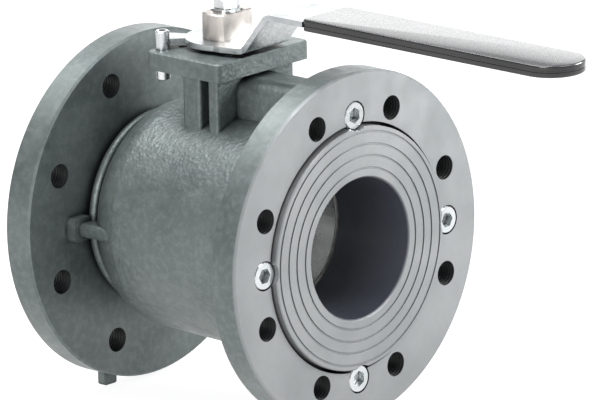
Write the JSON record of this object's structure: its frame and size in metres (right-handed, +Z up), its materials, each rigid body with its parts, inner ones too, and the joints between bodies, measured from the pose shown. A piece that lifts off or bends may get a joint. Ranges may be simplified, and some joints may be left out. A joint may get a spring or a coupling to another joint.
{
  "type": "flanged ball valve",
  "caption": "Quarter-turn valve with a spherical plug, two round flanges, a screwed-in end insert and a cranked hand lever.",
  "frame": {"origin": "centre of the inlet flange's raised face, on the bore axis", "axes": "+X along the bore from the inlet to the outlet flange, +Z up along the stem, +Y to the left seen from the inlet"},
  "size_m": [0.3398, 0.2, 0.2343],
  "materials": {
    "casting_paint": "satin grey-green enamel over a sand-cast surface",
    "insert_paint": "satin grey enamel over turned grooves",
    "zinc_screws": "bright zinc plating",
    "lever_zinc": "zinc-plated pressed steel",
    "hub_steel": "machined steel",
    "stem_steel": "turned stainless steel",
    "ball_metal": "ground and polished",
    "ptfe": "white fluoropolymer",
    "black_rubber": "matt elastomer",
    "grip_plastic": "glossy dipped vinyl"
  },
  "bodies": {
    "housing": {"valve_body": "casting_paint", "end_insert": "insert_paint", "insert_screws": "zinc_screws", "insert_seal": "black_rubber", "seat_inlet": "ptfe", "seat_outlet": "ptfe", "seat_spring_ring_inlet": "black_rubber", "seat_spring_ring_outlet": "black_rubber", "stem_thrust_washer": "ptfe", "stem_bush": "ptfe", "stem_dust_ring": "black_rubber", "stop_screw": "zinc_screws"},
    "lever_and_stem": {"stem": "stem_steel", "stem_seals": "black_rubber", "lever": "lever_zinc", "grip_sleeve": "grip_plastic", "lever_hub": "hub_steel", "lever_washer": "zinc_screws", "lever_screw": "hub_steel"},
    "ball": {"ball": "ball_metal"}
  },
  "joints": [
    {"name": "lever_turn", "type": "hinge", "parent": "housing", "child": "lever_and_stem", "pos_m": [0.0825, 0, 0], "axis": [0, 0, 1], "range_deg": [-90, 0]},
    {"name": "ball_turn", "type": "hinge", "parent": "housing", "child": "ball", "pos_m": [0.0825, 0, 0], "axis": [0, 0, 1], "range_deg": [-90, 0]}
  ],
  "couplings": [
    {"joint": "ball_turn", "follows": "lever_turn", "ratio": 1}
  ]
}
